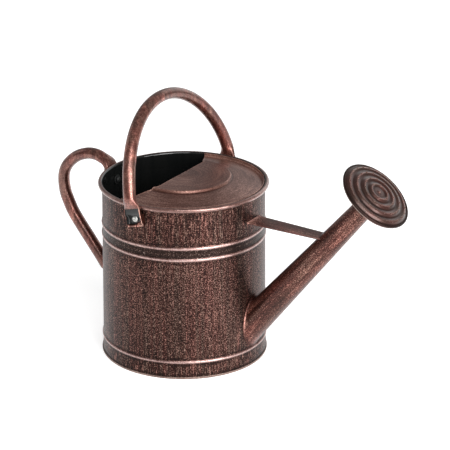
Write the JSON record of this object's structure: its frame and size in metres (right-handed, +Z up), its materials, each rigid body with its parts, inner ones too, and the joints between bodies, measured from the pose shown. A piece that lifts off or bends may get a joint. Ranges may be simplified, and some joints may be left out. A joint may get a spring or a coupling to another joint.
{
  "type": "watering can",
  "caption": "Round sheet-metal watering can with a splash cover, swinging bail, fixed rear loop handle, braced tapered spout and a perforated round rose.",
  "frame": {"origin": "centre of the footprint box on the floor, from the rear handle to the rose", "axes": "+X towards the spout, +Z up, bail rivets along Y"},
  "size_m": [0.4118, 0.1996, 0.279],
  "materials": {
    "aged_bronze": "dark brown lacquered steel with brushed copper streaks and fine speckle",
    "worn_copper": "brown lacquer rubbed through to copper along edges and curves",
    "rivet_silver": "bare zinc-plated pop rivet"
  },
  "bodies": {
    "tank": {"tank_wall": "aged_bronze", "tank_bottom": "aged_bronze", "splash_cover": "aged_bronze", "bail_rivet_left": "rivet_silver", "bail_rivet_right": "rivet_silver", "bail_washer_left": "rivet_silver", "bail_washer_right": "rivet_silver", "rear_handle": "worn_copper", "rear_handle_rivet_upper": "rivet_silver", "rear_handle_rivet_lower": "rivet_silver", "rear_handle_washer_upper": "rivet_silver", "rear_handle_washer_lower": "rivet_silver", "spout_tube": "aged_bronze", "spout_flange": "worn_copper", "spout_brace": "aged_bronze"},
    "bail": {"bail_handle": "worn_copper"},
    "rose": {"rose_face": "worn_copper", "rose_shell": "aged_bronze", "rose_sleeve": "aged_bronze"}
  },
  "joints": [
    {"name": "bail_swing", "type": "hinge", "parent": "tank", "child": "bail", "pos_m": [-0.05008, 0, 0.172], "axis": [0, 1, 0], "range_deg": [-56, 105]},
    {"name": "rose_pull_off", "type": "slide", "parent": "tank", "child": "rose", "axis": [0.6421, 0, 0.7666], "range_m": [0, 0.03]}
  ]
}
